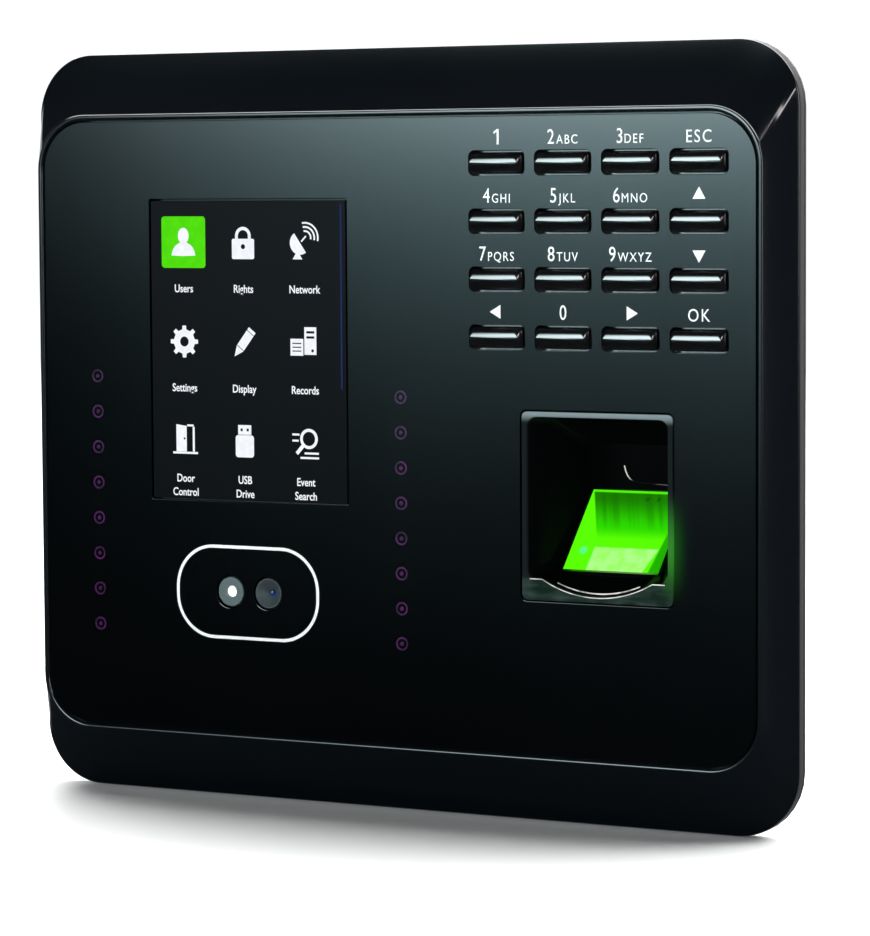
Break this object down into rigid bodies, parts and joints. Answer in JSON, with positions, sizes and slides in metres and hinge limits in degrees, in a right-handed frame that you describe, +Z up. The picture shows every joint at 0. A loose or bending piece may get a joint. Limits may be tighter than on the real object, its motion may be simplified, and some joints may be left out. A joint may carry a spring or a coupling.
{
  "type": "fingerprint scanner terminal",
  "caption": "Wall-mounted access terminal with fingerprint recess, small display, twin cameras, infrared emitters and a numeric keypad.",
  "frame": {"origin": "back face of the wall plate, level with the middle of the body's rim in width and height", "axes": "+X to the right seen from the front, +Y into the wall, +Z up"},
  "size_m": [0.1676, 0.0322, 0.1488],
  "materials": {
    "cover_gloss": "high-gloss black injection-moulded plastic",
    "panel_smoke": "smoked black panel, glossy, printed from behind",
    "screen": "dark display window",
    "key_gloss": "gloss black key tops",
    "guide_gloss": "black finger guide, satin to gloss",
    "platen": "clear prism lit green from behind",
    "case_matte": "fine-textured black plastic",
    "plate_steel": "zinc-coated sheet steel",
    "screw_zinc": "zinc-plated steel",
    "lens": "coated camera lens",
    "barrel": "black lens barrel",
    "emitter": "infrared emitters on their board",
    "board": "green solder-masked circuit board",
    "rubber_mat": "grey silicone rubber",
    "lcd_metal": "thin bright sheet steel",
    "flex": "amber polyimide film",
    "connector_metal": "tinned connector shell",
    "connector_plastic": "black connector plastic",
    "terminal_plastic": "green terminal plastic",
    "relay_plastic": "blue relay case",
    "speaker_cone": "black paper cone in a steel basket"
  },
  "bodies": {
    "wall_mount": {"wall_plate": "plate_steel", "lock_screw": "screw_zinc"},
    "terminal": {"front_cover": "cover_gloss", "face_panel": "panel_smoke", "display_window": "screen", "lcd_panel": "lcd_metal", "lcd_frame": "lcd_metal", "lcd_flex": "flex", "key_mat": "rubber_mat", "key_board": "board", "key_connector": "connector_plastic", "led_strip_left": "emitter", "led_strip_right": "emitter", "camera_board": "board", "camera_barrel_left": "barrel", "camera_barrel_right": "barrel", "camera_lens_left": "lens", "camera_lens_right": "lens", "finger_guide": "guide_gloss", "sensor_prism": "platen", "sensor_housing": "case_matte", "sensor_board": "board", "rear_cover": "case_matte", "case_screw_1": "screw_zinc", "case_screw_2": "screw_zinc", "case_screw_3": "screw_zinc", "case_screw_4": "screw_zinc", "main_board": "board", "processor_shield": "lcd_metal", "door_relay": "relay_plastic", "battery_holder": "connector_plastic", "clock_battery": "screw_zinc", "ethernet_jack": "connector_metal", "terminal_block": "terminal_plastic", "power_jack": "connector_plastic", "usb_socket": "connector_metal", "tamper_switch": "connector_plastic", "reset_switch": "connector_plastic", "speaker": "speaker_cone"},
    "key_1_body": {"key_1": "key_gloss"},
    "key_2_body": {"key_2": "key_gloss"},
    "key_3_body": {"key_3": "key_gloss"},
    "key_esc_body": {"key_esc": "key_gloss"},
    "key_4_body": {"key_4": "key_gloss"},
    "key_5_body": {"key_5": "key_gloss"},
    "key_6_body": {"key_6": "key_gloss"},
    "key_up_body": {"key_up": "key_gloss"},
    "key_7_body": {"key_7": "key_gloss"},
    "key_8_body": {"key_8": "key_gloss"},
    "key_9_body": {"key_9": "key_gloss"},
    "key_down_body": {"key_down": "key_gloss"},
    "key_left_body": {"key_left": "key_gloss"},
    "key_0_body": {"key_0": "key_gloss"},
    "key_right_body": {"key_right": "key_gloss"},
    "key_ok_body": {"key_ok": "key_gloss"},
    "tamper_body": {"tamper_button": "case_matte"},
    "reset_body": {"reset_button": "case_matte"}
  },
  "joints": [
    {"name": "terminal_lift", "type": "slide", "parent": "wall_mount", "child": "terminal", "axis": [0, 0, 1], "range_m": [0, 0.006]},
    {"name": "key_1_press", "type": "slide", "parent": "terminal", "child": "key_1_body", "axis": [0, 1, 0], "range_m": [0, 0.001], "stiffness_N_per_m": 800},
    {"name": "key_2_press", "type": "slide", "parent": "terminal", "child": "key_2_body", "axis": [0, 1, 0], "range_m": [0, 0.001], "stiffness_N_per_m": 800},
    {"name": "key_3_press", "type": "slide", "parent": "terminal", "child": "key_3_body", "axis": [0, 1, 0], "range_m": [0, 0.001], "stiffness_N_per_m": 800},
    {"name": "key_esc_press", "type": "slide", "parent": "terminal", "child": "key_esc_body", "axis": [0, 1, 0], "range_m": [0, 0.001], "stiffness_N_per_m": 800},
    {"name": "key_4_press", "type": "slide", "parent": "terminal", "child": "key_4_body", "axis": [0, 1, 0], "range_m": [0, 0.001], "stiffness_N_per_m": 800},
    {"name": "key_5_press", "type": "slide", "parent": "terminal", "child": "key_5_body", "axis": [0, 1, 0], "range_m": [0, 0.001], "stiffness_N_per_m": 800},
    {"name": "key_6_press", "type": "slide", "parent": "terminal", "child": "key_6_body", "axis": [0, 1, 0], "range_m": [0, 0.001], "stiffness_N_per_m": 800},
    {"name": "key_up_press", "type": "slide", "parent": "terminal", "child": "key_up_body", "axis": [0, 1, 0], "range_m": [0, 0.001], "stiffness_N_per_m": 800},
    {"name": "key_7_press", "type": "slide", "parent": "terminal", "child": "key_7_body", "axis": [0, 1, 0], "range_m": [0, 0.001], "stiffness_N_per_m": 800},
    {"name": "key_8_press", "type": "slide", "parent": "terminal", "child": "key_8_body", "axis": [0, 1, 0], "range_m": [0, 0.001], "stiffness_N_per_m": 800},
    {"name": "key_9_press", "type": "slide", "parent": "terminal", "child": "key_9_body", "axis": [0, 1, 0], "range_m": [0, 0.001], "stiffness_N_per_m": 800},
    {"name": "key_down_press", "type": "slide", "parent": "terminal", "child": "key_down_body", "axis": [0, 1, 0], "range_m": [0, 0.001], "stiffness_N_per_m": 800},
    {"name": "key_left_press", "type": "slide", "parent": "terminal", "child": "key_left_body", "axis": [0, 1, 0], "range_m": [0, 0.001], "stiffness_N_per_m": 800},
    {"name": "key_0_press", "type": "slide", "parent": "terminal", "child": "key_0_body", "axis": [0, 1, 0], "range_m": [0, 0.001], "stiffness_N_per_m": 800},
    {"name": "key_right_press", "type": "slide", "parent": "terminal", "child": "key_right_body", "axis": [0, 1, 0], "range_m": [0, 0.001], "stiffness_N_per_m": 800},
    {"name": "key_ok_press", "type": "slide", "parent": "terminal", "child": "key_ok_body", "axis": [0, 1, 0], "range_m": [0, 0.001], "stiffness_N_per_m": 800},
    {"name": "tamper_press", "type": "slide", "parent": "terminal", "child": "tamper_body", "axis": [0, -1, 0], "range_m": [0, 0.001], "stiffness_N_per_m": 300},
    {"name": "reset_press", "type": "slide", "parent": "terminal", "child": "reset_body", "axis": [0, -1, 0], "range_m": [0, 0.0005], "stiffness_N_per_m": 800}
  ]
}
